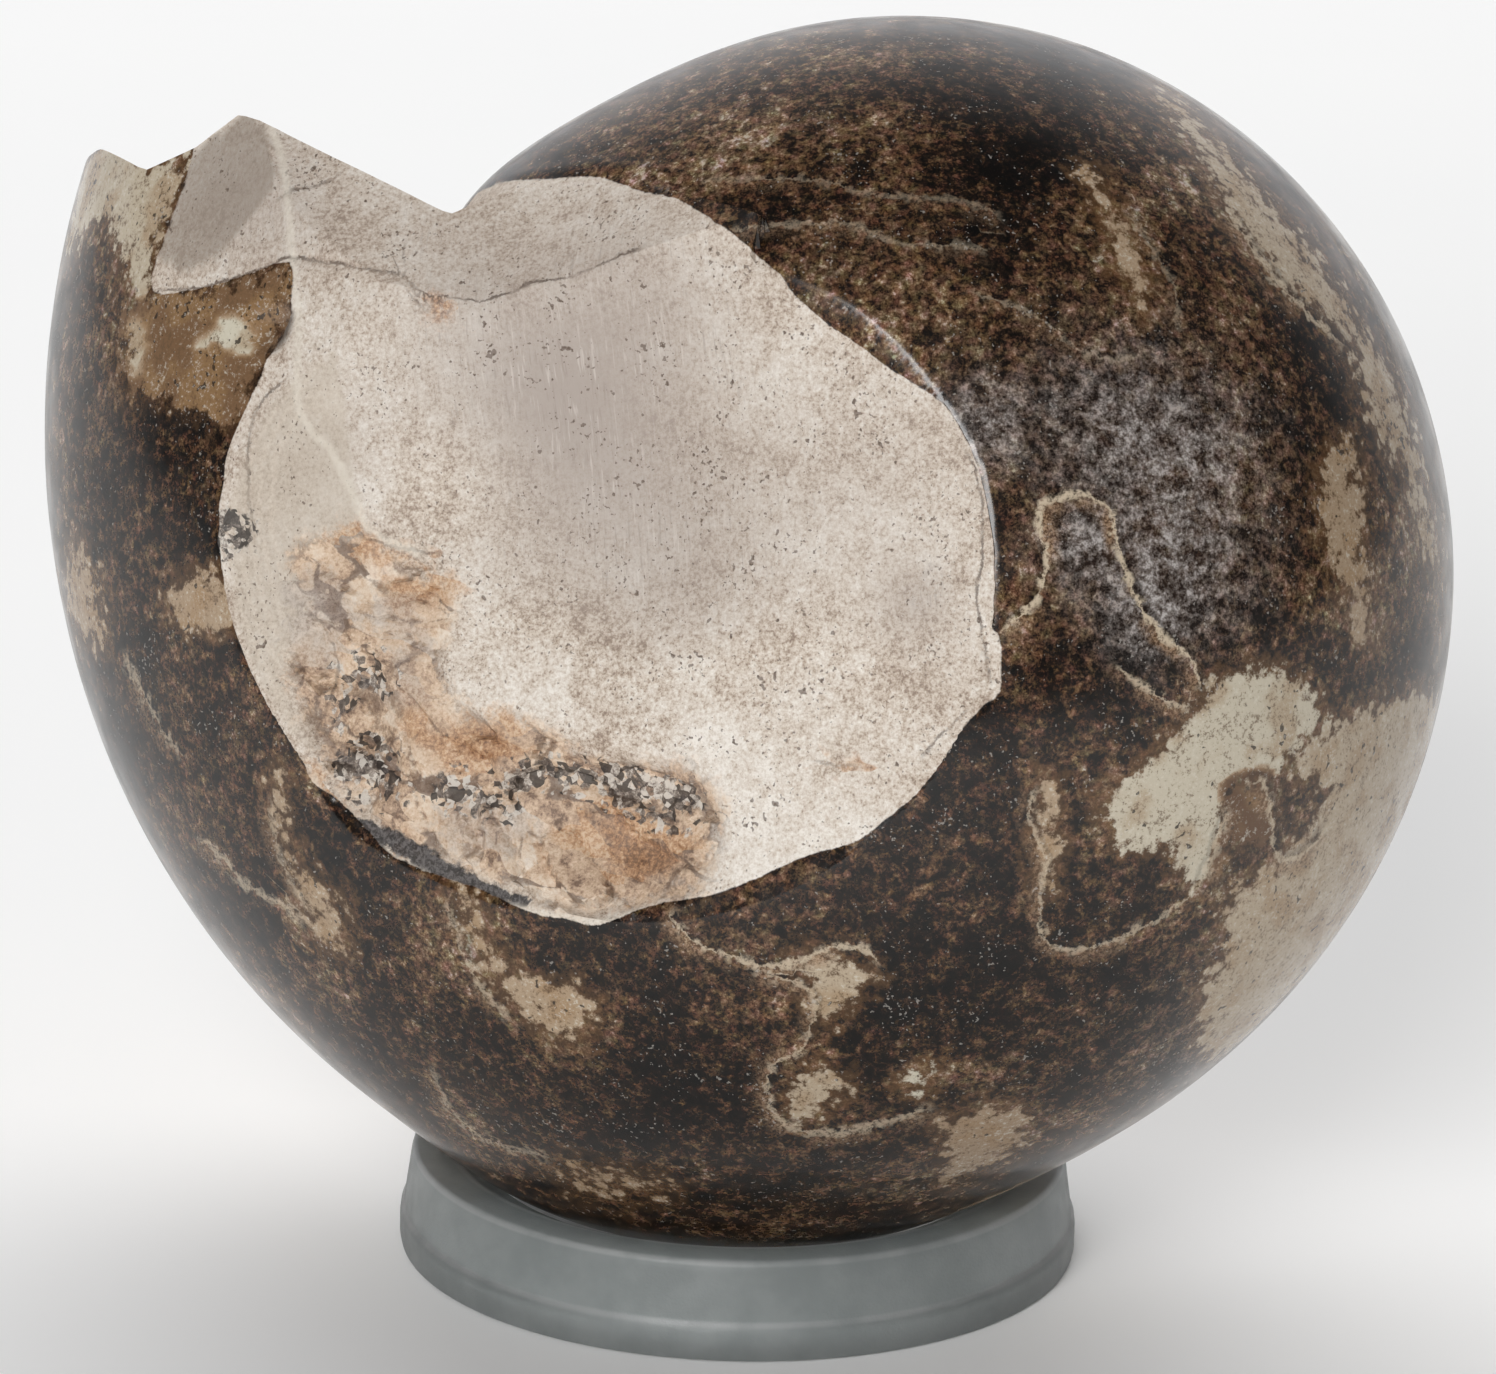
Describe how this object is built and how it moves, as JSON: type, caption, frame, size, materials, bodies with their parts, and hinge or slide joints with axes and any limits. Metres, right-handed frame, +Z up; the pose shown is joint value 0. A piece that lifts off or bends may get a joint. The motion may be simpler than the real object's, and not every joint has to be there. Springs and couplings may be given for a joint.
{
  "type": "fossil ammonite",
  "caption": "Globose polished ammonite of dark crystal-filled shell, broken at the mouth and ground to a pale oval face, resting on a frosted clear ring stand.",
  "frame": {"origin": "centre of the bounding box in plan, on the surface that the ring stands on", "axes": "-Y is the side that the ground face looks to, +X to the right of it, +Z up; the ring's foot faces -Z"},
  "size_m": [0.0786, 0.066, 0.07],
  "materials": {
    "fossil_stone": "polished dark brown calcite with tan sutures, and a pale cream ground face",
    "frosted_plastic": "frosted clear plastic"
  },
  "bodies": {
    "root": {"ammonite": "fossil_stone", "display_ring": "frosted_plastic"}
  },
  "joints": []
}
